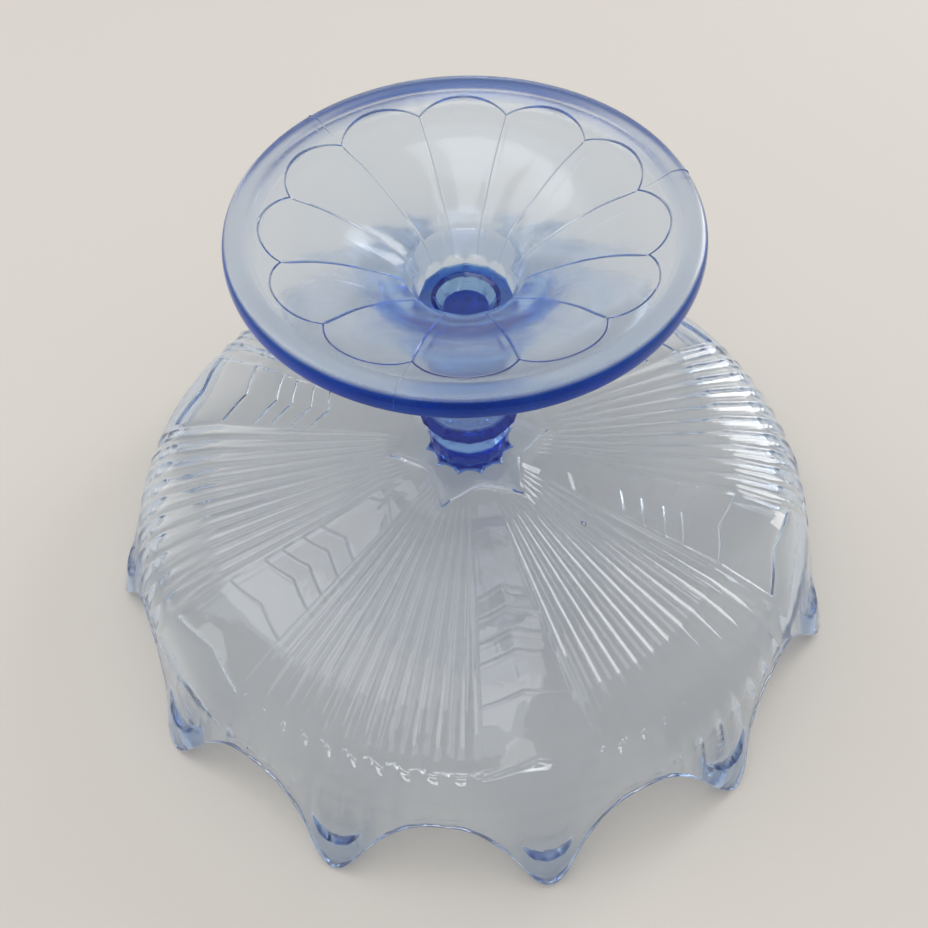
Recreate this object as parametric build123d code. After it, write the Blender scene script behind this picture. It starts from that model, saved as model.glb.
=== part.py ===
from build123d import *
import math
import os

os.makedirs("parts", exist_ok=True)

# Driving sizes, mm and degrees.  The bowl stands on its rim points: z = 0 is the table, the foot is up.
TIP_R = 120.0        # outermost circle through the twelve rim points
BOWL_H = 50.6        # table to the flat seat on the bowl's centre
WALL = 4.0           # bowl wall
TOP_SLOPE = 6.9      # fall of the bowl's top, from the seat to the bend
BEND_IN = 37.0       # bend, in from the rim points
BEND_SLOPE = 17.0    # fall from the bend to the shoulder
WALL_SLOPE = 71.0    # lean of the side wall
SHOULDER_R = 15.0    # rounding between the two
TIPS = 12            # rim points, stem sides and foot petals
FANS = 6             # fans of flutes, with a stepped panel between each two
FLUTES = 10          # flutes in one fan
FAN_DEG = 40.0       # width of one fan
FLUTE_D = 0.17       # flute depth over flute width
ARCH_H = 25.4        # height of the arch between two rim points
ARCH_PEAK = 1.5      # where the arch's straight sides would meet, over its height
POINT_W = 2.6        # flat that each rim point stands on
POINT_R = 3.2        # rounding from that flat into the arch
LUG_T = 2.2          # how far a rim point stands proud of the wall
LUG_R = 8.5          # round head of that boss, and the dish in its top
PANEL_IN = 36.0      # inner end of a stepped panel
CHEVRON = 4.1        # how far the middle of a step points inward
TERRACE = 0.5        # depth of one step
PAD_R = 24.8         # points of the star pad
PAD_NOTCH = 17.5     # notches between its points
PAD_T = 2.6          # pad thickness under the stem
PAD_EDGE = 0.7       # pad thickness at its points
STEM_H = 46.8        # stem, from pad to foot
STEM_R = 12.7        # stem corners
WAIST_R = 11.2       # corners at the waist under the knop
KNOP_R = 15.3        # corners at the knop
KNOP_H = 17.8        # pad to the knop's edge
SPUR_R = 14.35       # spurs at the stem's root
FOOT_R = 56.7        # foot, outer edge
FOOT_H = 41.0        # foot, from the stem to the resting ring
FOOT_T = 3.8         # foot thickness
EDGE_T = 5.4         # height of the foot's outer edge
EDGE_C = 1.5         # bevel on that edge
RING_R = 52.1        # resting ring, middle
RING_W = 1.8         # width of its flat
DISH_D = 24.5        # depth of the foot's dish, to the mouth of the well
DISH_CURVE = 1.85    # how fast the dish rises from that mouth
CUSP_R = 43.7        # cusps between two petals
CUSP_D = 3.8         # their depth below the ring
PETAL_R = 48.3       # outer end of a petal
PETAL_D = 0.012      # petal depth over its distance from the axis
WELL_R = 11.8        # mouth of the well
WELL_D = 10.3        # depth of the well below its mouth

FAN_AZ = 249.5       # centre of one fan and of the rim point below it
STEM_AZ = 20.0       # one corner of the stem
PETAL_AZ = 89.5      # centre of one petal
SIXTH = 360.0 / FANS
PITCH = 360.0 / TIPS


def sin(degrees):
    return math.sin(math.radians(degrees))


def cos(degrees):
    return math.cos(math.radians(degrees))


def tan(degrees):
    return math.tan(math.radians(degrees))


def height_on(p, q, r):
    return p[1] + (r - p[0]) * (q[1] - p[1]) / (q[0] - p[0])


def crossing(p, p_slope, q, q_slope):
    """Where two lines that fall outward at these slopes meet, one through p and one through q."""
    a, b = tan(p_slope), tan(q_slope)
    r = (p[1] - q[1] + a * p[0] - b * q[0]) / (a - b)
    return (r, p[1] - a * (r - p[0]))


def rounded(before, corner, after, radius, flats):
    """A corner turned in a few flats that follow its round."""
    points = [(r, 0, z) for r, z in (before, corner, after)]
    arc = FilletPolyline(*points, radius=radius).edges().filter_by(GeomType.CIRCLE)[0]
    spots = [arc @ (k / flats) for k in range(flats + 1)]
    return sorted((v.X, v.Z) for v in spots)


def beside(points, gap):
    """The same run of points moved aside by a wall, with its corners kept sharp."""
    normals = []
    for (r, z), (s, y) in zip(points[:-1], points[1:]):
        length = math.hypot(s - r, y - z)
        normals.append(((y - z) / length, (r - s) / length))
    moved = []
    for i, (r, z) in enumerate(points):
        a, b = normals[max(i - 1, 0)], normals[min(i, len(normals) - 1)]
        share = gap / (1 + a[0] * b[0] + a[1] * b[1])
        moved.append((r + (a[0] + b[0]) * share, z + (a[1] + b[1]) * share))
    return moved


def lathe(points, degrees):
    face = make_face(Polyline(*[(r, 0, z) for r, z in points], close=True))
    return Rot(0, 0, -degrees / 2) * revolve(face, Axis.Z, degrees)


def turned(shape, angles):
    return [Rot(0, 0, a) * shape for a in angles]


def whole(wedge, pitch, start):
    """The whole round of a piece from one wedge of it."""
    copies = turned(wedge, [start + k * pitch for k in range(round(360 / pitch))])
    return copies[0].fuse(*copies[1:])


def flat_solid(polygons):
    return Solid(Shell([Face(Wire.make_polygon(points, close=True)) for points in polygons]))


def corners(z, radius, count=TIPS, start=STEM_AZ):
    return [(radius * cos(start + k * 360 / count), radius * sin(start + k * 360 / count), z) for k in range(count)]


def tapered(a, b):
    """Solid between two polygons with parallel sides."""
    return flat_solid([a, b] + [[a[i - 1], a[i], b[i], b[i - 1]] for i in range(len(a))])


def hollows(line, columns, top):
    """Cutter for a fan of hollows: line runs outward as (r, z), columns across as (degrees, depth over r)."""
    floor = [[(r * cos(a), r * sin(a), z - d * r) for a, d in columns] for r, z in line]
    roof = [[(x, y, top) for x, y, _ in row] for row in floor]
    last_i, last_j = len(line) - 1, len(columns) - 1
    polygons = []
    for i in range(last_i + 1):
        for j in range(last_j + 1):
            if i < last_i and j < last_j:
                polygons += [[m[i][j], m[i][j + 1], m[i + 1][j + 1], m[i + 1][j]] for m in (floor, roof)]
            if i < last_i and j in (0, last_j):
                polygons.append([floor[i][j], floor[i + 1][j], roof[i + 1][j], roof[i][j]])
            if j < last_j and i in (0, last_i):
                polygons.append([floor[i][j], floor[i][j + 1], roof[i][j + 1], roof[i][j]])
    return flat_solid(polygons)


# ---------------------------------------------------------------- bowl: one sixth of it, centred on a panel
seat = (PAD_R + 2.0, BOWL_H)
bend = (TIP_R - BEND_IN, BOWL_H - (TIP_R - BEND_IN - seat[0]) * tan(TOP_SLOPE))
lip = (TIP_R - LUG_T, 0.0)
shoulder = rounded(bend, crossing(bend, BEND_SLOPE, lip, WALL_SLOPE), lip, SHOULDER_R, 2)
edge, hip = shoulder[0], shoulder[-1]
outer = [(0, BOWL_H), seat, bend] + shoulder + [lip]
inner = beside(outer, WALL)
inner[-1] = (inner[-1][0] + inner[-1][1] / tan(WALL_SLOPE), 0)
sixth = lathe(outer + inner[::-1], SIXTH)

# rim points: a boss with a round head, dished from above, laid on the wall at each
on_wall = Plane(origin=(lip[0], 0, 0), x_dir=(0, 1, 0), z_dir=(sin(WALL_SLOPE), 0, cos(WALL_SLOPE)))
head = Pos(0, LUG_R * 0.9) * Circle(LUG_R) + Rectangle(LUG_R * 2, LUG_R * 1.8)
boss = on_wall * (head - Pos(0, LUG_R * 2.6) * Circle(LUG_R))
boss = extrude(boss, LUG_T * sin(WALL_SLOPE)) + extrude(boss, -WALL / 2)
room = lathe([(hip[0] - WALL, 0), (TIP_R + LUG_T, 0), (TIP_R + LUG_T, BOWL_H), (hip[0] - WALL, BOWL_H)], SIXTH)
for piece in turned(boss, (-PITCH, 0, PITCH)):
    sixth += piece & room

# arches between the points: straight sides under a round top
half = inner[-1][0] * sin(PITCH / 2) - POINT_W / 2
lean = math.atan(ARCH_PEAK * ARCH_H / half)
side_x = half - POINT_R * math.tan(lean / 2)
peak = side_x * math.tan(lean)
with BuildSketch() as arch:
    with BuildLine():
        Polyline((-side_x, 0), (0, peak), (side_x, 0), (half + 1, 0), (half + 1, -4),
                 (-half - 1, -4), (-half - 1, 0), close=True)
    make_face()
    fillet(arch.vertices().sort_by(Axis.Y)[-1], (peak - ARCH_H) / (1 / math.cos(lean) - 1))
    fillet(arch.vertices().filter_by(lambda v: abs(v.Y) < 0.01 and abs(v.X) < half), POINT_R)
side_on = Plane(origin=(hip[0] * 0.8, 0, 0), x_dir=(0, 1, 0), z_dir=(1, 0, 0))
sixth -= turned(extrude(side_on * arch.sketch, TIP_R * 0.35), (-PITCH / 2, PITCH / 2))

# stepped panel: flat terraces between chevrons, each one tipped down into the wall
panel_cos, panel_sin = cos((SIXTH - FAN_DEG) / 2), sin((SIXTH - FAN_DEG) / 2)
steps = [PANEL_IN + (edge[0] - PANEL_IN) * t for t in (0, 0.26, 0.365, 0.475, 0.57, 0.76, 1)]
for near, far in zip(steps[:-1], steps[1:]):
    p, q = (seat, bend) if far < bend[0] else (bend, edge)
    z_near, z_far = height_on(p, q, near) - TERRACE * 0.24, height_on(p, q, far) - TERRACE
    plan = [(near * panel_cos, -near * panel_sin), (near - CHEVRON, 0), (near * panel_cos, near * panel_sin),
            (far * panel_cos, far * panel_sin), (far - CHEVRON, 0), (far * panel_cos, -far * panel_sin)]
    tilt = math.degrees(math.atan2(z_near - z_far, far - near))
    step = make_face(Polyline(*[(x - near, y, 0) for x, y in plan], close=True))
    sixth -= extrude(Pos(near, 0, z_near) * Rot(0, tilt, 0) * step, PAD_T * 2, dir=(0, 0, 1))

# fan: hollow flutes that widen outward and run out on the seat and on the shoulder
flute_deg = FAN_DEG / FLUTES
deep, ridge = 2 * tan(flute_deg / 2) * FLUTE_D, 0.0004
columns = [(k * flute_deg - FAN_DEG / 2, ridge) for k in range(FLUTES + 1)]
columns += [((k + t) * flute_deg - FAN_DEG / 2, deep) for k in range(FLUTES) for t in (0.27, 0.73)]
r_in, r_out = PAD_R - 2, hip[0] - 2
line = [(r_in, height_on(seat, bend, r_in)), bend, (r_out, height_on(bend, edge, r_out))]
fan = hollows(line, sorted(columns), BOWL_H + PAD_T)
for half_fan in turned(fan, (-SIXTH / 2, SIXTH / 2)):
    sixth -= half_fan
export_step(whole(sixth, SIXTH, FAN_AZ + SIXTH / 2), "parts/bowl.step")

# ---------------------------------------------------------------- star pad under the stem
pad_top = BOWL_H + PAD_T
star = []
for k in range(FANS):
    for a, r in ((-25, PAD_NOTCH), (0, PAD_R), (25, PAD_NOTCH)):
        star.append((r * cos(FAN_AZ + k * SIXTH + a), r * sin(FAN_AZ + k * SIXTH + a)))
roof = [corners(z, r / cos(SIXTH / 2), FANS, FAN_AZ + SIXTH / 2)
        for z, r in ((BOWL_H, PAD_R + 1), (BOWL_H + PAD_EDGE, PAD_R + 1), (pad_top, SPUR_R + 0.9))]
pad = extrude(Pos(0, 0, BOWL_H) * make_face(Polyline(*star, close=True)), PAD_T)
export_step(pad & (tapered(roof[0], roof[1]) + tapered(roof[1], roof[2])), "parts/collar.step")

# ---------------------------------------------------------------- stem: twelve flat sides, with a knop
stem_top = pad_top + STEM_H
tiers = [(0, STEM_R - 0.5), (KNOP_H * 0.52, STEM_R), (KNOP_H * 0.68, WAIST_R), (KNOP_H * 0.92, KNOP_R - 0.6),
         (KNOP_H, KNOP_R), (KNOP_H * 1.14, STEM_R + 0.2), (STEM_H, STEM_R + 0.4)]
levels = [corners(pad_top + h, r) for h, r in tiers]
stem = tapered(levels[0], levels[1])
for a, b in zip(levels[1:-1], levels[2:]):
    stem += tapered(a, b)

# a pointed spur runs down each corner to the pad
root = STEM_R * 0.8
low = [(SPUR_R, 0, pad_top), (root, root * 0.21, pad_top), (root, -root * 0.21, pad_top)]
tip = (root, 0, pad_top + KNOP_H * 0.5)
spur = flat_solid([low] + [[low[i - 1], low[i], tip] for i in range(3)])
for piece in turned(spur, [STEM_AZ + k * PITCH for k in range(TIPS)]):
    stem += piece
export_step(stem, "parts/stem.step")

# ---------------------------------------------------------------- foot: one twelfth of it, centred on a petal
ring_z = stem_top + FOOT_H
mouth_z, cusp_z = ring_z - DISH_D, ring_z - CUSP_D
dish = []
for t in (-0.02, 0.12, 0.37, 0.65, 1):
    dish.append((WELL_R + (CUSP_R - WELL_R) * t, mouth_z + (cusp_z - mouth_z) * (1 - (1 - t) ** DISH_CURVE)))
land = (RING_R - RING_W / 2 - 2, cusp_z + (PETAL_R - CUSP_R) * 0.4)
rim = [land, (RING_R - RING_W / 2, ring_z), (RING_R + RING_W / 2, ring_z), (FOOT_R - EDGE_C, ring_z - 0.6),
       (FOOT_R, ring_z - 0.6 - EDGE_C), (FOOT_R, ring_z - EDGE_T)]
under = beside([dish[0], dish[2], dish[-1]], FOOT_T)
twelfth = lathe([(0, stem_top), (STEM_R, stem_top)] + under + rim[::-1] + dish[::-1] + [(0, dish[0][1])], PITCH)

# petal: a shallow hollow that widens outward, to a round end
columns = [(-PITCH * 0.51, PETAL_D / 3), (-PITCH / 4, PETAL_D), (PITCH / 4, PETAL_D), (PITCH * 0.51, PETAL_D / 3)]
beyond = (PETAL_R + 1, height_on(dish[-2], dish[-1], PETAL_R + 1))
horn = (CUSP_R * cos(PITCH * 0.51), CUSP_R * sin(PITCH * 0.51))
plan = make_face([ThreePointArc((horn[0], -horn[1]), (PETAL_R, 0), horn),
                  Polyline(horn, (0, 0), (horn[0], -horn[1]))])
twelfth -= hollows(dish + [beyond], columns, ring_z) & extrude(Pos(0, 0, stem_top) * plan, FOOT_H)
foot = whole(twelfth, PITCH, PETAL_AZ)

# well: a sunk twelve-sided cup
mouth_r = WELL_R / cos(PITCH / 2)
cup = [corners(z, r) for z, r in ((mouth_z - WELL_D, mouth_r * 0.6), (mouth_z - 1.2, mouth_r * 0.7),
                                  (mouth_z, mouth_r), (mouth_z + 4, mouth_r * 1.1))]
for a, b in zip(cup[:-1], cup[1:]):
    foot -= tapered(a, b)
export_step(foot, "parts/foot.step")
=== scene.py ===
# %% [markdown]
# # A pale blue pressed-glass comport, turned down on its rim points
#
# A comport is a shallow bowl on a stem and foot.  This one rests upside down, rim below and foot on top.  The
# bowl is one pressing and the foot with its stem is another, joined hot at a star-shaped pad.  Glass could be put
# on the plain solids as they are, but the way light bends through ribs, steps and petals is the whole look of the
# piece. So both pressings are built here as closed skins, and the first cell loads the solids and measures their
# box.

# %% load the frame
import bpy
import bmesh
import math
import numpy as np
from mathutils import Matrix, Vector


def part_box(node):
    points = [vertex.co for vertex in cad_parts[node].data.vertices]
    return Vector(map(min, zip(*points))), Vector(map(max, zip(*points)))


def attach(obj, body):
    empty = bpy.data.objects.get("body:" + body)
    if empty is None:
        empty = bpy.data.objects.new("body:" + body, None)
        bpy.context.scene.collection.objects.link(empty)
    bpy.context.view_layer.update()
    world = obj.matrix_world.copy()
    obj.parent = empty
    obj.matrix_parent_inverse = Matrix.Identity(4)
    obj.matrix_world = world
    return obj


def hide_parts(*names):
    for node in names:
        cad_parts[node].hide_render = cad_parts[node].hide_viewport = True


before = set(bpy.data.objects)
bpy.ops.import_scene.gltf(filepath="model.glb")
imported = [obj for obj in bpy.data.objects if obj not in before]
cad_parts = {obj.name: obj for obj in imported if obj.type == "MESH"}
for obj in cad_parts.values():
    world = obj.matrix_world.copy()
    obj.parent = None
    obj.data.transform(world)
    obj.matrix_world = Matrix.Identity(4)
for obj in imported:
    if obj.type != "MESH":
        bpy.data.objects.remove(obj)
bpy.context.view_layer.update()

# %% [markdown]
# ## Sizes
# The solids say how high the seat of the bowl, the star pad and the ring of the foot are.  The skins could be
# drawn in metres, as Blender counts, but the sizes of a mould are easier to picture in millimetres.  So
# everything is drawn in millimetres and turned to metres when a mesh is made.

# %% driving sizes
mm = 0.001
seat_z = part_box("bowl")[1].z / mm              # flat seat on the bowl's centre
pad_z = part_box("collar")[1].z / mm             # top of the star pad
ring_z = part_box("foot")[1].z / mm              # resting ring of the foot
tip_r = 120.0                                  # circle through the rim points
wall = 4.0                                     # thickness of the bowl
fan_az, petal_az = 249.5, 89.5                 # bearing of the middle of a fan, and of a petal
print("levels, mm:", seat_z, pad_z, ring_z)

# %% [markdown]
# ## The outline of the bowl
# From the middle outwards the bowl is a flat seat, two straight runs, a round shoulder and a straight wall down
# to the rim.  A curve object could be spun into that, but the pressed pattern has to ride on it.  So the outline
# is kept as a table of points with the direction square to each, and averaging that direction softens the bends.

# %% bowl outline
seat_r = 25.4                                                # the flat seat ends here
bend_r, bend_z = tip_r * 0.692, seat_z - tip_r * 0.0575      # the first run ends
edge_r, edge_z = tip_r * 0.808, bend_z - tip_r * 0.035       # the shoulder starts
brow_r, brow_z = tip_r * 0.868, edge_z - tip_r * 0.045       # middle of the shoulder
hip_r, hip_z = tip_r * 0.905, brow_z - tip_r * 0.065         # the shoulder ends
lug_t = 2.2                                                  # a lug stands this far out of the wall
lip_r = tip_r - lug_t                                        # the wall ends here
window = 25                                                  # points over which the direction is averaged


def through(p, q, s, count):
    """Points on the circle through p, q and s."""
    p, q, s = map(np.array, (p, q, s))
    m = np.linalg.solve(2 * np.array([q - p, s - p]), [q @ q - p @ p, s @ s - p @ p])
    a = [math.atan2(*(v - m)[::-1]) for v in (p, s)]
    t = np.linspace(*a, count)
    rad = np.hypot(*(p - m))
    return np.stack([m[0] + rad * np.cos(t), m[1] + rad * np.sin(t)], 1)


def lengths(points):
    """Distance along a line of points, from its start to each of them."""
    return np.concatenate([[0], np.cumsum(np.hypot(*np.diff(points, axis=0).T))])


shoulder = through((edge_r, edge_z), (brow_r, brow_z), (hip_r, hip_z), 16)
corners = np.vstack([[(0, seat_z), (seat_r, seat_z), (bend_r, bend_z)], shoulder, [(lip_r, 0)]])
at_corner = lengths(corners)
run = np.linspace(0, at_corner[-1], 800)
line = np.stack([np.interp(run, at_corner, corners[:, k]) for k in (0, 1)], 1)
slope = np.gradient(line, axis=0)
slope = np.stack([np.convolve(np.pad(slope[:, k], window // 2, "edge"), np.ones(window) / window, "valid")
                  for k in (0, 1)], 1)
normal = np.stack([-slope[:, 1], slope[:, 0]], 1) / np.hypot(*slope.T)[:, None]
print("wall outline runs", round(run[-1], 1), "mm")

# %% [markdown]
# ## Finding a place on the outline
# On the mould every cut is a place along the wall and a depth into it.  Points could be pushed up or down
# instead, but on the steep wall that would smear a cut.  So three small functions find a place by distance, by
# radius or by height, and the first of them also moves it square out of the wall.

# %% places on the outline
def on_line(s, out=0.0):
    """Radius and height at distance s along the bowl's outline, moved out along its normal."""
    r, z, nr, nz = (np.interp(s, run, c) for c in (*line.T, *normal.T))
    return r + nr * out, z + nz * out


def s_of_radius(r):
    return np.interp(r, line[:, 0], run)


def s_of_height(z):
    low = line[:, 0] > edge_r
    return np.interp(-np.asarray(z), -line[low, 1], run[low])


print("the shoulder starts", round(float(s_of_radius(edge_r)), 1), "mm along")

# %% [markdown]
# ## How the pattern goes round
# Six times round, the mould has a fan of ten flutes and a panel of chevron steps, and a rim point every 30
# degrees. An array could repeat one sixth, but it leaves seams that have to be closed before light can pass.  So
# all rows share the same bearings, three to a degree, and a folded bearing tells each point where it is in its
# own sixth.

# %% bowl bearings
sixth, point_gap, flute_deg = 60, 30, 4                # degrees


def fold(degrees, period, centre):
    """Signed distance in degrees to the nearest of the centres spaced by period."""
    return (degrees - centre + period / 2) % period - period / 2


deg = np.arange(0, 360, 1 / 3) + fan_az
from_fan = fold(deg, sixth, fan_az)
from_step = fold(deg, sixth, fan_az + sixth / 2)
from_tip = fold(deg, point_gap, fan_az)
in_fan = np.abs(from_fan) <= 20.001
flute_u = fold(from_fan, flute_deg, flute_deg / 2) / flute_deg            # -0.5 to 0.5 over one flute
scoop = 1 - 4 * flute_u ** 2                                              # 1 along a flute, 0 on its ribs
chevron = np.clip(1 - np.abs(from_step) / 10, 0, 1) * tip_r * 0.034       # a step points inwards in its middle
border = np.abs(from_step) > 8.7                                          # plain strip beside each fan
print("bearings", len(deg), "of which", int(in_fan.sum()), "lie in fans")

# %% [markdown]
# ## The star pad
# A six-pointed pad with its notches cut off straight thickens the middle of the bowl where the stem is joined. 
# It could be a disc laid on the bowl, but a second surface inside the glass would show.  So it is the first rings
# of the bowl's own skin: a flat top that thins along the arms, and a side that is steep at the points and soft
# elsewhere.

# %% star pad
pad_point, pad_notch, notch_from = 24.8, 17.5, 25      # radius of points and notches; degrees from point to notch
pad_flat, pad_end, pad_side = 15.2, 0.72, 0.66         # flat up to here; height at the points; drop of the side


def smooth(x, low, high):
    """0 below low, 1 above high, and an even S between them."""
    t = np.clip((x - low) / (high - low), 0, 1)
    return t * t * (3 - 2 * t)


def star(degrees):
    """Outline of the pad."""
    b = np.abs(fold(degrees, sixth, fan_az))
    turn = math.radians(notch_from)
    p, q = np.array([pad_point, 0]), pad_notch * np.array([math.cos(turn), math.sin(turn)])
    c, s = np.cos(np.radians(b)), np.sin(np.radians(b))
    arm = (p[0] * q[1] - p[1] * q[0]) / ((q[1] - p[1]) * c - (q[0] - p[0]) * s)
    notch = pad_notch * math.cos(math.radians(sixth / 2 - notch_from)) / np.cos(np.radians(sixth / 2 - b))
    return np.where(b < notch_from, arm, notch)


def pad_top(r):
    return np.interp(r, (pad_flat, seat_r), (pad_z, seat_z + pad_end))


pad = star(deg)
side_w = 0.15 + 1.6 * smooth(np.abs(from_fan), 1.5, 6)
rings = [(12.0, pad_z)]
for t in (0.6, 0.75, 0.88):
    rings.append((pad * t, pad_top(pad * t)))
for t in (0.0, 0.25, 0.5, 0.75):
    r = pad - side_w * (1 - t)
    rings.append((r, pad_top(r) - pad_side * smooth(t, 0, 1)))
rings.append((pad + 0.15, on_line(s_of_radius(pad + 0.15))[1]))
print("pad reaches", round(float(pad.max()), 1), "mm")

# %% [markdown]
# ## Flutes and steps
# A flute is a hollow between two ribs that starts at the pad, and a step is a low terrace with a fine rib along
# its edge.  Both could be painted as a bump, but glass shows them by bending what is behind it.  So they are real
# depth: one function gives the depth of the pattern on any row, flutes in the fans and terraces in the panels.

# %% flutes and steps
step_r = tip_r * np.array([0.30, 0.435, 0.4875, 0.545, 0.593, 0.688, 0.815])     # where the terraces start
shallow, terrace = 0.12, 0.65                          # depth at the start and at the end of a terrace
rib_h, rib_w = 0.2, 0.25                               # fine rib on every step


def relief(rho):
    """Height of the pressed pattern over the plain wall at row radius rho; below it is negative."""
    deep = 0.17 * rho * math.radians(flute_deg) * (1 - 0.4 * smooth(rho, 84, 98))
    flute = -deep * scoop * smooth(rho, pad + 0.4, pad + 5)
    k = min(max(np.searchsorted(step_r, rho) - 1, 0), len(step_r) - 2)
    into = (rho - step_r[k]) / (step_r[k + 1] - step_r[k])
    rib = rib_h * np.exp(-((rho - step_r) / rib_w) ** 2).max()
    step = rib - (shallow + (terrace - shallow) * np.clip(into, 0, 1)) * (rho > step_r[0])
    return np.where(in_fan, flute, np.where(border, 0, step))


print("deepest flute", round(float(-min(relief(rho).min() for rho in range(30, 97))), 2), "mm")

# %% [markdown]
# ## Rows of the pattern
# On the bowl the step edges are crisp and the terraces between them plain.  Evenly spaced rows would blur the one
# or waste points on the other.  So rows crowd at the edges of each step and spread between them, and bend inwards
# in the middle of a panel so that an edge never cuts across a row.

# %% pattern rows
rows = [30]
for a, b in zip(step_r[:-1], step_r[1:]):
    rows += [a + 0.14, a + 0.35, a + 0.6, *np.linspace(a + 1.2, b - 1.2, 4), b - 0.6, b - 0.35, b - 0.14]
rows = [r for r in rows if r < tip_r * 0.80]
for rho in rows:
    r = np.maximum(rho - chevron * smooth(rho, 28, 36), pad + 0.3)
    rings.append(on_line(s_of_radius(r), relief(rho)))
print("pattern rows", len(rows))

# %% [markdown]
# ## Arches and lugs
# Between the points the rim rises in an arch, and every point carries a thick lug with a round hollow pressed
# into it.  The arches could be cut out with booleans, but that can leave ragged edges in glass.  So the rim
# height and the swelling of the wall are worked out for each bearing, and the rows that follow simply end there.

# %% arches and lugs
thumb_z = 21.5                                         # height of the round hollow in every lug
reach = (point_gap / 2 - np.abs(from_tip)) / (point_gap / 2)
arch_z = tip_r * 0.212 * (1 - reach ** 2.6) ** 1.8
end_r = np.where(in_fan, edge_r - 0.6 + 3.0 * np.sqrt(scoop), tip_r * 0.83 - chevron)    # flutes end round
s_end, s_rim = s_of_radius(end_r), s_of_height(arch_z + 0.9)
arc_s = np.radians(from_tip) * lip_r                   # distance round the rim from the nearest point


def lug(z):
    """How far the wall swells out at height z."""
    swell = (1 - smooth(np.abs(arc_s), 2.5, 12)) * (1 - smooth(z, 9, 29))
    hollow = 1 - smooth(np.hypot(arc_s, z - thumb_z), 7.9, 8.4)
    return lug_t * swell * (1 - 0.7 * hollow)


print("arches rise to", round(float(arch_z.max()), 1), "mm")

# %% [markdown]
# ## The wall below the pattern, and the rim
# Flutes and steps fade out on the shoulder, a faint ripple runs on down the wall, and the rim is rounded by the
# fire. A bevel could round the rim, but it can fold over itself at the points.  So the wall rows run from the end
# of the pattern to the rim, and seven more rings carry the skin round the edge to the inside.

# %% wall and rim
rim_share = 0.86                                       # the rim is this much as thick as the wall
end_cut = relief(edge_r)
rings.append(on_line(s_end - 0.5, end_cut * 0.95))
for t in np.concatenate([[0.0, 0.006, 0.012], np.linspace(0.025, 1, 46)]):
    s = s_end + (s_rim - s_end) * t
    z = on_line(s)[1]
    ripple = -0.45 * scoop * smooth(s - s_end, 0.5, 5) * smooth(z, 11, 26)
    step_end = end_cut * (t == 0) + 0.3 * np.exp(-((s - s_end - 0.4) / 0.5) ** 2) * ~border
    run_out = np.where(in_fan, end_cut * (1 - smooth(s - s_end, 0, 4)) + ripple, step_end)
    rings.append(on_line(s, lug(z) + run_out))
s_tip = s_of_height(arch_z)
outer_lug = lug(on_line(s_rim)[1])
mid, half = (outer_lug - wall * rim_share) / 2, (outer_lug + wall * rim_share) / 2
for turn in np.radians([22.5, 45, 67.5, 90, 112.5, 135, 157.5]):
    rings.append(on_line(s_rim + (s_tip - s_rim) * math.sin(turn), mid + half * math.cos(turn)))
print("rings down to the rim", len(rings))

# %% [markdown]
# ## The inside, and the skin of the bowl
# The plunger of the press leaves the inside smooth.  A solidify modifier could thicken an open shell, but it
# would copy the pattern to the inside.  So the inside is its own plain rings, and one function skins all rings,
# outside and inside, into a closed mesh.  Each rim point ends in a small flat where it rests, and only real edges
# stay sharp.

# %% bowl inside and skin
def shell(name, degrees, rings, first_pole, last_pole, sharp):
    """A closed skin through rings of (radius, height), each an array over the same bearings."""
    a = np.radians(degrees)
    n = len(a)
    co = [[0, 0, first_pole]]
    for r, z in rings:
        r, z = np.broadcast_to(r, n), np.broadcast_to(z, n)
        co += np.stack([r * np.cos(a), r * np.sin(a), z], 1).tolist()
    co.append([0, 0, last_pole])
    i = np.arange(n)
    j = (i + 1) % n
    faces = [(0, 1 + p, 1 + q) for p, q in zip(i, j)]
    for k in range(len(rings) - 1):
        b = 1 + k * n
        faces += [(b + p, b + n + p, b + n + q, b + q) for p, q in zip(i, j)]
    b, end = 1 + (len(rings) - 1) * n, len(co) - 1
    faces += [(b + p, end, b + q) for p, q in zip(i, j)]
    mesh = bpy.data.meshes.new(name)
    mesh.from_pydata((np.array(co) * mm).tolist(), [], [tuple(map(int, f)) for f in faces])
    mesh.shade_smooth()
    mesh.set_sharp_from_angle(angle=math.radians(sharp))
    mesh.validate()
    piece = bpy.data.objects.new(name, mesh)
    bpy.context.scene.collection.objects.link(piece)
    print(name, len(co), "points", len(faces), "faces")
    return piece


for t in np.linspace(0, 1, 30):
    s = s_rim + (s_of_radius(edge_r) - s_rim) * t
    rings.append(on_line(s, -wall * (rim_share + (1 - rim_share) * t)))
for r in np.linspace(edge_r - 3, 4, 24):
    rings.append(on_line(s_of_radius(r), -wall))
rings = [(r, np.maximum(z, 0)) for r, z in rings]      # the small flats
bowl_glass = shell("bowl_glass", deg, rings, pad_z, seat_z - wall, 85)
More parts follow.
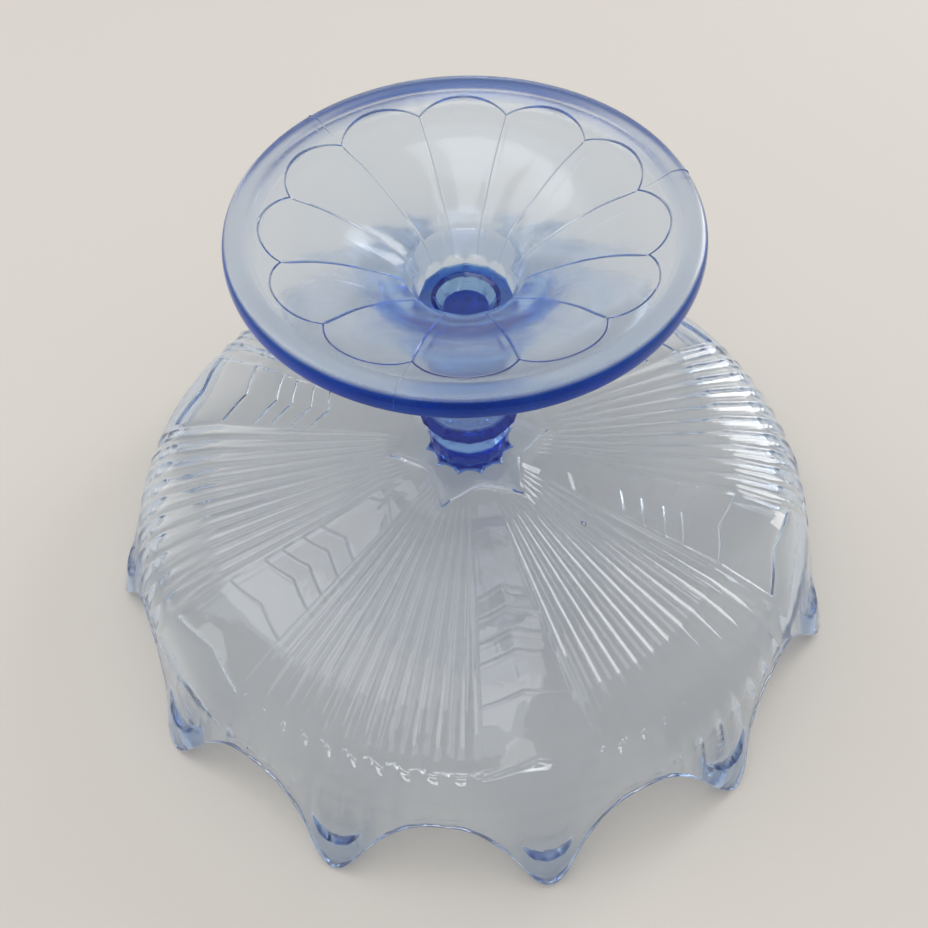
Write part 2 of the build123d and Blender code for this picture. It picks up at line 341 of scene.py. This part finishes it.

# %% [markdown]
# ## One seed
# A seed is a gas bubble caught in the glass, here in the front right fan.  It could be a separate ball, but then
# light would meet glass inside glass.  So a small sphere joins the bowl's mesh with its faces turned inwards,
# which makes it a hole in the glass.  Blender can list the edges and faces of a new sphere in another order on
# another run, so they are sorted by their points, and the mesh is the same every time.

# %% seed
seed_at, seed_r = (33.0 * mm, -27.8 * mm, 46.6 * mm), 0.95 * mm
mesh = bmesh.new()
mesh.from_mesh(bowl_glass.data)
seed = bmesh.ops.create_uvsphere(mesh, u_segments=16, v_segments=8, radius=seed_r,
                                 matrix=Matrix.Translation(seed_at))
inner = {f for v in seed["verts"] for f in v.link_faces}
for f in inner:
    f.smooth = True
bmesh.ops.reverse_faces(mesh, faces=list(inner))
mesh.verts.index_update()
for parts, own in ((mesh.edges, {e for f in inner for e in f.edges}), (mesh.faces, inner)):
    parts.index_update()
    ordered = sorted(own, key=lambda part: sorted(v.index for v in part.verts))
    place = {part: len(parts) + k for k, part in enumerate(ordered)}
    parts.sort(key=lambda part: place.get(part, part.index))
mesh.to_mesh(bowl_glass.data)
mesh.free()
print("bowl faces with the seed", len(bowl_glass.data.polygons))

# %% [markdown]
# ## The ledge on every rim point
# Below the round hollow of a lug the glass is thick, and its ledge looks deep blue: painted shade on thicker glass.
# A separate blue patch would have edges of its own inside the glass.  So the points of the mesh that lie on the
# ledge carry a number, which the glass reads later as a share of deeper blue, painted as shade.

# %% ledge marks
lean = 0.344                                           # the wall comes in this much per mm of height


def polar(piece):
    """Radius, bearing in degrees and height of a piece's points, in millimetres."""
    at = np.empty(len(piece.data.vertices) * 3)
    piece.data.vertices.foreach_get("co", at)
    x, y, z = at.reshape(-1, 3).T / mm
    return np.hypot(x, y), np.degrees(np.arctan2(y, x)), z


def mark(piece, name, share):
    layer = piece.data.attributes.new(name, "FLOAT", "POINT")
    layer.data.foreach_set("value", np.asarray(share, float))
    print(name, "marked on", int((np.asarray(share) > 0.01).sum()), "points")


pr, pa, pz = polar(bowl_glass)
aside = np.radians(fold(pa, point_gap, fan_az)) * lip_r
off_thumb = np.hypot(aside, pz - thumb_z)
round_thumb = smooth(off_thumb, 7.6, 8.0) * (1 - smooth(off_thumb, 8.4, 8.8))
outside = pr + lean * pz > 118.0
# the deep blue crescent marked here is painted shade on the ledge of each lug
mark(bowl_glass, "ledge", round_thumb * (1 - smooth(np.abs(aside), 5.2, 6.8)) * (pz < 20) * outside)

# %% [markdown]
# ## Foot and stem
# One pressing again: well, petals, resting ring, underside, twelve-sided stem and its star-shaped end.  A spun
# curve would give a plain trumpet, but petals and sides need corners that stay in line from top to bottom.  So
# the twelve petals set the bearings, closer together towards a petal's edge, and every ring of the foot uses the
# same ones.

# %% foot bearings
petals, petal_deg = 12, 30
half_deg = petal_deg / 2
petal_half = np.array([-1, -0.985, -0.96, -0.92, -0.86, -0.78, -0.68, -0.56, -0.42, -0.28, -0.14, 0])
petal_u = np.concatenate([petal_half, -petal_half[-2:0:-1]])       # -1 to 1 over one petal
turn_deg = np.concatenate([petal_az + petal_deg * k + half_deg * petal_u for k in range(petals)])
u = np.tile(petal_u, petals)


def twelve(corner, hollow=1.0):
    """Radius of a twelve-sided ring with corners on the petal lines; below 1, hollow draws its sides in."""
    side = corner * math.cos(math.radians(half_deg)) / np.cos(np.radians(half_deg * (1 - np.abs(u))))
    return side * (1 - (1 - hollow) * (1 - u ** 2))


print("foot bearings", len(turn_deg))

# %% [markdown]
# ## The well and the dish
# The foot is hollow like a trumpet, and a small blind well opens in its middle through sloping facets and a
# ledge. A round hole would be simpler, but its facets repeat the twelve sides of the stem.  So the well is a few
# twelve-sided rings, and a smooth line through a few points gives the dish above it.

# %% well and dish
def curve(x, px, py):
    """Smooth line through the points (px, py), read at x."""
    px, py = np.asarray(px, float), np.asarray(py, float)
    h = np.diff(px)
    d = np.diff(py) / h
    m = np.concatenate([d[:1], (d[:-1] * h[1:] + d[1:] * h[:-1]) / (h[:-1] + h[1:]), d[-1:]])
    i = np.clip(np.searchsorted(px, x) - 1, 0, len(h) - 1)
    t = (x - px[i]) / h[i]
    return ((2 * t ** 3 - 3 * t ** 2 + 1) * py[i] + (t ** 3 - 2 * t ** 2 + t) * h[i] * m[i]
            + (3 * t ** 2 - 2 * t ** 3) * py[i + 1] + (t ** 3 - t ** 2) * h[i] * m[i + 1])


dish_r = np.array([12.0, 12.5, 13.3, 14.5, 16.3, 19.3, 23.5, 27.5, 35.0, 43.7, 48.3, 50.4])
dish_z = np.array([114.1, 117.2, 120.0, 122.4, 124.4, 126.7, 129.3, 131.6, 135.0, 137.3, 138.9, 140.2])
well = [(6.0, 110.4), (6.2, 110.7), (7.75, 113.1), (7.95, 113.4), (8.7, 113.8), (8.9, 113.9), (11.6, 113.9),
        (11.85, 114.0)]
rings = [(twelve(r), z) for r, z in well]
print("well floor", well[0][1], "mm high, mouth", well[-1][1], "mm high")

# %% [markdown]
# ## Petals
# Each of the twelve petals is a shallow hollow with a fine groove round it, straight at the sides and round at
# the outer end.  The groove could be a bump, but a real one catches the light from every side.  So petals are
# pressed into the dish ring by ring, twelve-sided near the well, and the last rings follow the round ends of the
# leaves.

# %% petals
cut_w, cut_d = 0.30, 0.34                              # width and depth of the fine groove
inner_r = 33                                           # up to here the rings are round
leaf_mid, leaf_r, leaf_w = 36.1, 12.2, 9.6             # the round end: its centre, radius and half width


def leaf_end(u):
    """Radius at which a petal ends, u being -1 to 1 across it."""
    return leaf_mid + np.sqrt(leaf_r ** 2 - (leaf_w * u) ** 2)


def petal(r):
    """Depth of a petal below the smooth dish, with the fine groove at each side."""
    aside = (1 - np.abs(u)) * math.radians(half_deg) * r
    hollow = np.interp(np.mean(r), (12, 20, 43), (0.1, 0.45, 0.16))
    return hollow * (1 - u ** 2) + cut_d * np.clip(1 - aside / cut_w, 0, 1)


leaf = leaf_end(u)
for r in np.concatenate([np.linspace(12.0, 12.9, 7), np.linspace(13.1, 16, 9), np.linspace(16.8, inner_r, 18)]):
    sided = smooth(-r, -14, -12)
    rings.append((twelve(r) * sided + r * (1 - sided), curve(r, dish_r, dish_z) - petal(r)))
for t in np.linspace(0.06, 1, 14):
    r = inner_r + (leaf - 0.7 - inner_r) * t
    rings.append((r, curve(r, dish_r, dish_z) - petal(r)))
for out, deep in ((-0.3, 0.12), (0, 1), (0.3, 0), (0.7, 0)):
    rings.append((leaf + out, curve(leaf + out, dish_r, dish_z) - cut_d * deep))
print("petals reach", round(float(leaf.max()), 1), "mm, rings so far", len(rings))

# %% [markdown]
# ## The resting ring
# When the comport stands upright it rests on a flat ring, and the foot ends in a thick round edge.  Three faint
# ridges cross them where the parts of the mould met.  A torus would not keep the flat.  So a flowing line runs
# over the edge, and single bearings of it are lifted a little for the seams.

# %% resting ring
seam = (np.abs(fold(turn_deg, 120, petal_az + 45)) < 0.001) * 1.0      # 1 on the three seams
seam_h, seam_out, drawn_top = 0.18, 0.12, 141.03


def flowing(points, count):
    """Points spaced evenly along a smooth line through the given ones."""
    p = np.array(points, float)
    s = lengths(p)
    at = np.linspace(0, s[-1], count)
    return np.stack([curve(at, s, p[:, 0]), curve(at, s, p[:, 1])], 1)


band = flowing(((49.7, 139.75), (50.6, 140.4), (51.4, 140.85), (52.3, 141.0), (53.6, 141.0), (54.8, 140.85),
                (55.7, 140.4), (56.3, 139.6), (56.6, 138.4), (56.7, 137.2), (56.6, 136.3), (56.2, 135.6),
                (55.2, 135.15)), 26)
for r, z in band:
    ridge = seam * seam_h * (r < 56.6)
    rings.append((r + seam * seam_out - seam_out, np.full(len(u), z + ring_z - drawn_top) - seam_h + ridge))
print("seams at", int(seam.sum()), "bearings; edge reaches", round(float(band[:, 0].max()), 1), "mm")

# %% [markdown]
# ## Underside and stem
# The underside sweeps down to the stem, which has twelve sides, a bevelled knop and a root like a star that
# stands on the pad.  They could be separate pieces, but light would stop at the joints.  So the same skin runs on
# to the pad and leaves a hair's breadth of air over the bowl, which keeps the two glasses closed.

# %% underside and stem
air = 0.03                                             # gap between stem and pad
under = [(55.2, 135.05), (52, 134.6), (46, 133.3), (40.4, 131.6), (35, 129.6), (30, 127.0), (26.0, 124.1),
         (22.5, 121.0), (19.6, 117.8), (17.2, 114.2), (15.4, 110.4), (14.2, 106.2), (13.5, 102)]
tiers = [(13.2, 97), (13.1, 90), (13.05, 82), (12.95, 74.0), (13.0, 73.6), (15.2, 71.2), (15.3, 70.9),
         (14.8, 69.9), (11.4, 66.0), (11.3, 65.6), (12.6, 62.9), (12.7, 62.5), (12.6, 59), (12.4, 56.6)]
root = [(12.6, 0.955, 55.6), (13.4, 0.90, 54.3), (14.4, 0.84, pad_z + 0.25), (14.4, 0.84, pad_z + air)]
for r, z in flowing(under, 60)[1:]:
    sided = smooth(np.array(-r), -19, -14)
    rings.append((r * (1 - sided) + twelve(r * 1.01) * sided, z))
rings += [(twelve(r, 0.985), z) for r, z in tiers]
rings += [(twelve(r, hollow), z) for r, hollow, z in root]
foot_glass = shell("foot_glass", turn_deg, rings, 110.3, pad_z + air, 16)
print("foot rings", len(rings))

# %% [markdown]
# ## Marks for the fine lines
# The groove round a petal looks grey against the clear dish, and that grey is painted shade.  It is only a few
# points wide and curved at its end, so finding it again by nodes would take many of them.  So the points in a
# groove, and fainter those on a seam, carry a number that the glass reads later as a share of painted shade.

# %% fine line marks
pr, pa, pz = polar(foot_glass)
pu = fold(pa, petal_deg, petal_az) / half_deg
in_dish = pz > np.interp(pr, dish_r, dish_z) - 2
on_leaf = (np.abs(pr - leaf_end(pu)) < 0.1) & in_dish
on_side = ((1 - np.abs(pu)) * pr < 0.1) & (pr < 43.7) & (pz > 116) & in_dish
on_seam = (np.abs(fold(pa, 120, petal_az + 45)) < 0.01) & (pr > 47.5) & (pz > 138)
# these marks carry the painted shade of the grooves and, fainter, of the seams
mark(foot_glass, "line_shade", (on_leaf | on_side) + 0.7 * on_seam)

# %% [markdown]
# ## Colours and nodes
# A finish in Blender is a small net of nodes.  Each could be made by hand with a function of its own, but that is
# much to read.  So one function turns a colour as painters write it into the linear values of a shader, and one
# adds any node with its settings, values and links.

# %% colours and nodes
def linear(hex_colour):
    """sRGB hex to the linear values that shaders take."""
    c = [int(hex_colour[i:i + 2], 16) / 255 for i in (1, 3, 5)]
    return tuple(x / 12.92 if x <= 0.04045 else ((x + 0.055) / 1.055) ** 2.4 for x in c)


def node(tree, kind, inputs=(), **settings):
    """Adds a node; inputs are (name or place, value or the output that feeds it)."""
    n = tree.nodes.new(kind)
    for key, value in settings.items():
        setattr(n, key, value)
    for name, value in inputs:
        if isinstance(value, bpy.types.NodeSocket):
            tree.links.new(value, n.inputs[name])
        else:
            n.inputs[name].default_value = value
    return n


clear = linear("#FFFFFF")
print("clear glass", clear)

# %% [markdown]
# ## Where a finish begins and ends
# On the real piece a finish follows the shape: so far out, so high up.  A painted texture could say where, but it
# would have to be drawn by hand.  So a distance is measured from the middle of the piece, soft edges along it are
# multiplied to a share, and coats of colour are laid over each other by such shares.

# %% shares and coats
def distance(tree, axes):
    """Distance from the middle of the piece, counted along the given axes only."""
    place = node(tree, "ShaderNodeTexCoord").outputs["Object"]
    part = node(tree, "ShaderNodeVectorMath", [(0, place), (1, axes)], operation="MULTIPLY").outputs["Vector"]
    return node(tree, "ShaderNodeVectorMath", [(0, part)], operation="LENGTH").outputs["Value"]


def share_of(tree, *edges):
    """1 where every edge is passed; an edge is (distance, where it is 0, where it is 1), in millimetres."""
    share = None
    for value, start, end in edges:
        edge = node(tree, "ShaderNodeMapRange", [("Value", value), ("From Min", start * mm), ("From Max", end * mm)],
                    interpolation_type="SMOOTHSTEP").outputs["Result"]
        if share is not None:
            edge = node(tree, "ShaderNodeMath", [(0, share), (1, edge)], operation="MULTIPLY").outputs[0]
        share = edge
    return share


def painted(tree, ground, coats):
    """Lays coats of (share, colour) over a ground colour, one after another."""
    for share, colour in coats:
        below, above = ((*c, 1) if isinstance(c, tuple) else c for c in (ground, colour))
        ground = node(tree, "ShaderNodeMix", [(0, share), (6, below), (7, above)], data_type="RGBA").outputs[2]
    return ground


def graded(tree, value, low, high, stops):
    """Colour and clearness along a distance; a stop is (millimetres, colour, clearness)."""
    along = node(tree, "ShaderNodeMapRange", [("Value", value), ("From Min", low * mm), ("From Max", high * mm)])
    ramp = node(tree, "ShaderNodeValToRGB", [("Fac", along.outputs["Result"])])
    keys = ramp.color_ramp.elements
    while len(keys) < len(stops):
        keys.new(0.5)
    for key, (place, colour, clearness) in zip(keys, stops):
        key.position = (place - low) / (high - low)
        key.color = (*colour, clearness)
    return ramp.outputs["Color"], ramp.outputs["Alpha"]


level, upright = (1, 1, 0), (0, 0, 1)                  # axes for a radius and for a height
print("axes for a radius", level, "and for a height", upright)

# %% [markdown]
# ## Pressed soda-lime glass
# The batch is coloured all through: thin walls look nearly clear, and the thick edge of the foot goes royal blue.
# Plain tinted glass would be as blue where it is thin.  So the colour is an absorption in the depth of the glass.
# The surface is fire polished, which gives sharp reflections, and the chilling mould leaves it faintly wavy.

# %% pressed glass
fire_polish = 0.03                                     # roughness
wave_w, wave_h = 7 * mm, 0.07 * mm                     # hollows of the chilled surface: width and depth


def pressed_glass(name, strength, clearness):
    """Glass that gathers colour at the given strength per metre; what is not clear is a faint bloom."""
    m = bpy.data.materials.new(name)
    m.use_nodes = True
    t = m.node_tree
    t.nodes.clear()
    place = node(t, "ShaderNodeTexCoord").outputs["Object"]
    wave = node(t, "ShaderNodeTexNoise", [("Vector", place), ("Scale", 1 / wave_w)])
    bump = node(t, "ShaderNodeBump", [("Height", wave.outputs["Fac"]), ("Distance", wave_h)])
    skin = node(t, "ShaderNodeBsdfPrincipled", [
        ("Base Color", (*clear, 1)), ("Roughness", fire_polish), ("IOR", 1.52),      # soda-lime glass
        ("Transmission Weight", clearness), ("Normal", bump.outputs["Normal"])])
    depth = node(t, "ShaderNodeVolumeAbsorption", [("Color", (*linear("#45B8F9"), 1)), ("Density", strength)])
    node(t, "ShaderNodeOutputMaterial", [("Surface", skin.outputs["BSDF"]), ("Volume", depth.outputs["Volume"])])
    return m, t, skin


print("waves", wave_w / mm, "mm wide")

# %% [markdown]
# ## The bowl's glass
# The bowl is nearly clear, a trace bluer where the lugs stand proud, and deep blue, painted shade, on the ledge
# of every point.  Absorption alone could be made stronger, but then the thin wall would turn blue too.  So these
# two places get a tint of their own, the lugs by how far they stand out of the leaning wall and the ledge by its
# marks.

# %% bowl glass
bowl_skin, tree, skin = pressed_glass("pale blue pressed glass", 31.0, 0.935)
leaning = node(tree, "ShaderNodeMath", [(0, distance(tree, upright)), (1, lean)], operation="MULTIPLY").outputs[0]
proud = node(tree, "ShaderNodeMath", [(0, distance(tree, level)), (1, leaning)], operation="ADD").outputs[0]
ledge = node(tree, "ShaderNodeAttribute", attribute_name="ledge").outputs["Fac"]
# the deep blue coat on the ledge is painted shade
tint = painted(tree, clear, [(share_of(tree, (proud, 118.4, 119.4)), linear("#E6EFFB")),
                             (ledge, linear("#143C88"))])
tree.links.new(tint, skin.inputs["Base Color"])
print(bowl_skin.name, len(tree.nodes), "nodes")

# %% [markdown]
# ## Tiers of the stem
# Up the stem pale tiers alternate with dark blue ones, where the glass is thick and its bevels turn the light
# inwards.  With absorption alone the tiers come out much too pale here.  So tint and clearness are graded by
# height: the dark blue of those tiers is painted shade, and the pale tiers are also a little cloudy, which real
# clear glass is not, because that gives them their soft body.

# %% stem tints
foot_skin, tree, skin = pressed_glass("pale blue pressed glass, worn foot", 42.0, 0.975)
across, height = distance(tree, level), distance(tree, upright)
light, dark, deep, neck = map(linear, ("#CDEDFF", "#123AA6", "#0A2684", "#E0F0F8"))
# the dark and deep stops are painted shade on the dark tiers
stem_tone, stem_clear = graded(tree, height, 50, 130, (
    (50, light, 0.9), (54.0, light, 0.85), (54.5, deep, 0.97), (57.5, deep, 0.97), (59.0, dark, 0.97),
    (62.3, dark, 0.97), (63.0, light, 0.8), (65.7, light, 0.8), (66.2, deep, 0.97), (73.2, deep, 0.97),
    (74.1, light, 0.7), (80, light, 0.76), (90, neck, 0.95), (110, neck, 0.975), (114, clear, 0.975)))
print(foot_skin.name, "graded over", 130 - 50, "mm of height")

# %% [markdown]
# ## Tints of the well, with painted light and shade
# Looking into the foot, the floor of the well is blue, its facets are pale, and a dark ring and a ledge lie round
# them.  One tint for the whole well would lose that.  So it is graded by radius, inside a share that holds only
# in the well: the pale facets are painted light and the dark ring is painted shade.  The mouth above it is tinted
# a little greyer.

# %% well tints
# the pale facet colour is painted light, the dark ring colour painted shade
floor_blue, lit_facet, shaded_ring, shelf = map(linear, ("#4478C4", "#B9DAF6", "#2049A4", "#84B8EE"))
well_tone, well_clear = graded(tree, across, 0, 15, (
    (5.7, floor_blue, 0.93), (6.0, lit_facet, 0.8), (7.6, lit_facet, 0.8), (7.8, shaded_ring, 0.97), (8.8, shaded_ring, 0.97),
    (9.0, shelf, 0.78), (12, shelf, 0.78)))
in_well = share_of(tree, (height, 104, 106), (height, 114.4, 113.95), (across, 12.3, 12.0))
mouth = share_of(tree, (height, 113.5, 115), (across, 17, 13.5), (across, 12.0, 12.3))
clearness = node(tree, "ShaderNodeMix", [(0, in_well), (2, stem_clear), (3, well_clear)], data_type="FLOAT")
tree.links.new(clearness.outputs[0], skin.inputs["Transmission Weight"])
print("well tints over", len(tree.nodes), "nodes")

# %% [markdown]
# ## Lines and edge of the foot
# The grooves get a grey coat of painted shade, and light has a long way through the thick edge, so it comes out
# royal blue.  More absorption would darken the whole foot.  So the coats are laid in order: stem, well, mouth,
# lines and last the edge.  The edge also tints its reflection blue and dims it, a painted shade that real glass
# does not have, because that brings its colour nearer to the real one.

# %% lines and edge
line_shade = node(tree, "ShaderNodeAttribute", attribute_name="line_shade").outputs["Fac"]
# the grey laid on grooves and seams is painted shade
groove_shade = node(tree, "ShaderNodeMath", [(0, line_shade), (1, 0.8)], operation="MULTIPLY").outputs[0]
brim = share_of(tree, (across, 55.0, 55.9))
tint = painted(tree, stem_tone, [(in_well, well_tone), (mouth, linear("#C6D2E6")), (groove_shade, linear("#3C4A66")),
                                 (brim, linear("#0E36A0"))])
tree.links.new(tint, skin.inputs["Base Color"])
# the dimmed blue reflection of the edge is painted shade
tree.links.new(painted(tree, clear, [(brim, linear("#7CB3FF"))]), skin.inputs["Specular Tint"])
print("coats laid,", len(tree.nodes), "nodes")

# %% [markdown]
# ## Wear of the foot
# Shelves have scuffed the resting ring, and the dish has a softer bloom than the stem.  Scratches could be drawn
# one by one, but they are too fine to show.  So roughness is added by share, a little over the dish and more on
# the ring.

# %% wear
rough = fire_polish
for share, added in ((share_of(tree, (across, 13.5, 17)), 0.1),
                     (share_of(tree, (across, 50.2, 51.2), (across, 55.6, 54.6)), 0.2)):
    part = node(tree, "ShaderNodeMath", [(0, share), (1, added)], operation="MULTIPLY").outputs[0]
    rough = node(tree, "ShaderNodeMath", [(0, part), (1, rough)], operation="ADD").outputs[0]
tree.links.new(rough, skin.inputs["Roughness"])
print("foot glass finished,", len(tree.nodes), "nodes")

# %% [markdown]
# ## Putting the glass on
# The bowl's skin stands for bowl and star pad, the foot's for foot and stem, since each pair is one pressing. 
# Four separate skins could be dressed instead, but they would show walls inside the glass.  Nothing moves on a
# comport, so both skins ride on the one body.

# %% finished pieces
for piece, nodes, look in ((bowl_glass, ("bowl", "collar"), bowl_skin), (foot_glass, ("foot", "stem"), foot_skin)):
    piece.data.materials.append(look)
    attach(piece, "root")
    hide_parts(*nodes)
print("glass on", bowl_glass.name, foot_glass.name)

# %% [markdown]
# ## The table
# Clear glass shows whatever is behind it, so it needs a calm ground.  A curved backdrop would do too, but a plain
# sheet of matt white paper is enough.  It lies a fifth of a millimetre below the rim points.

# %% table
def plain(name, colour, roughness):
    m = bpy.data.materials.new(name)
    m.use_nodes = True
    skin = m.node_tree.nodes["Principled BSDF"]
    skin.inputs["Base Color"].default_value = (*linear(colour), 1)
    skin.inputs["Roughness"].default_value = roughness
    return m


bpy.ops.mesh.primitive_plane_add(size=6, location=(0, 0, -0.0002))
table = bpy.context.object
table.name = "table"
table.data.materials.append(plain("matt white paper", "#D9D5CF", 0.9))
print("table", tuple(table.dimensions))

# %% [markdown]
# ## Light
# Glass is drawn by what it reflects.  A single lamp would leave it flat, and a strong one would burn out the
# paper. So a pale, slightly warm room lights everything evenly, and five soft boxes stand where windows and lamps
# would.

# %% light
world = bpy.data.worlds.new("room")
bpy.context.scene.world = world
world.use_nodes = True
sky = world.node_tree.nodes["Background"]
sky.inputs["Color"].default_value = (*linear("#FFFDFA"), 1)
sky.inputs["Strength"].default_value = 0.62


def softbox(name, place, aim, size, power):
    """A rectangular soft lamp at a place, turned towards its aim; metres and watts."""
    lamp = bpy.data.lights.new(name, "AREA")
    lamp.shape = "RECTANGLE"
    lamp.size, lamp.size_y = size
    lamp.energy = power
    o = bpy.data.objects.new(name, lamp)
    bpy.context.scene.collection.objects.link(o)
    o.location = place
    o.rotation_euler = (Vector(aim) - Vector(place)).to_track_quat("-Z", "Y").to_euler()
    print(name, power, "W")


softbox("front strip", (-0.05, -0.8, 0.85), (0, 0, 0.05), (0.7, 0.08), 1.1)
softbox("overhead", (-0.1, 0.0, 1.35), (0, 0, 0), (0.9, 0.55), 2.8)
softbox("high left", (-0.62, 0.32, 1.1), (0, 0, 0.05), (0.5, 0.5), 1.5)
softbox("window", (-1.1, 0.5, 0.6), (0, 0, 0.05), (0.35, 0.8), 1.0)
softbox("second window", (1.0, 0.8, 0.55), (0, 0, 0.05), (0.45, 0.7), 5.3)

# %% [markdown]
# ## Camera
# The piece is seen from above and in front, so that foot, stem and pattern all show.  A camera can be turned by
# angles, but directions are exact: one vector looks ahead, one points right, and the third follows from them. 
# Plain Standard colours are kept, and light may bounce more often than usual, which brightens edges and well a
# little.

# %% camera
sensor_w, reach_w, frame_w = 36, 962.4, 928            # lens reach and frame width in one unit
camera = bpy.data.cameras.new("camera")
camera.sensor_width = sensor_w
camera.lens = sensor_w * reach_w / frame_w
view = bpy.data.objects.new("camera", camera)
bpy.context.scene.collection.objects.link(view)
ahead = Vector((-0.006252, 0.575938, -0.817469)).normalized()
right = Vector((0.999665, -0.016933, -0.019576)).normalized()
up = right.cross(ahead).normalized()
right = ahead.cross(up).normalized()
axes = Matrix((right, up, -ahead)).transposed()
view.matrix_world = Matrix.Translation((0, -0.176355, 0.289998)) @ axes.to_4x4()
bpy.context.scene.camera = view
bpy.context.scene.view_settings.view_transform = "Standard"
paths = bpy.context.scene.cycles
paths.max_bounces, paths.glossy_bounces, paths.transmission_bounces = 40, 32, 32
print("lens", round(camera.lens, 2), "mm")
